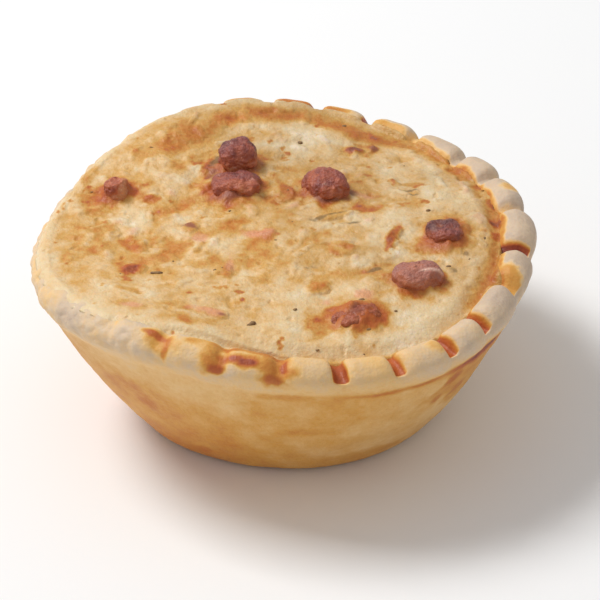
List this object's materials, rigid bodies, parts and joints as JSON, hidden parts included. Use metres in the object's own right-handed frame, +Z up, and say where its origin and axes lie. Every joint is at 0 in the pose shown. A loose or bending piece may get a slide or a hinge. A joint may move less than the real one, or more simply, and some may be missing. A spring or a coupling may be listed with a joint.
{
  "type": "individual quiche",
  "caption": "Small round quiche: a crimped shortcrust case filled to the rim with baked custard, with diced ham in its browned top.",
  "frame": {"origin": "middle of the flat foot, on the surface that the quiche stands on", "axes": "+Z up through the custard, -Y towards the front as pictured, +X to the right"},
  "size_m": [0.0789, 0.0811, 0.0357],
  "materials": {
    "pastry": "baked shortcrust, matt, cream with golden to red-brown browning in the grooves and under the rim",
    "custard": "baked egg and cheese custard, soft sheen, pale yellow with golden and brown patches",
    "ham": "roasted cured ham, moist, red-brown with darker edges"
  },
  "bodies": {
    "root": {"pastry_case": "pastry", "custard": "custard", "ham_1": "ham", "ham_2": "ham", "ham_3": "ham", "ham_4": "ham", "ham_5": "ham", "ham_6": "ham", "ham_7": "ham"}
  },
  "joints": []
}
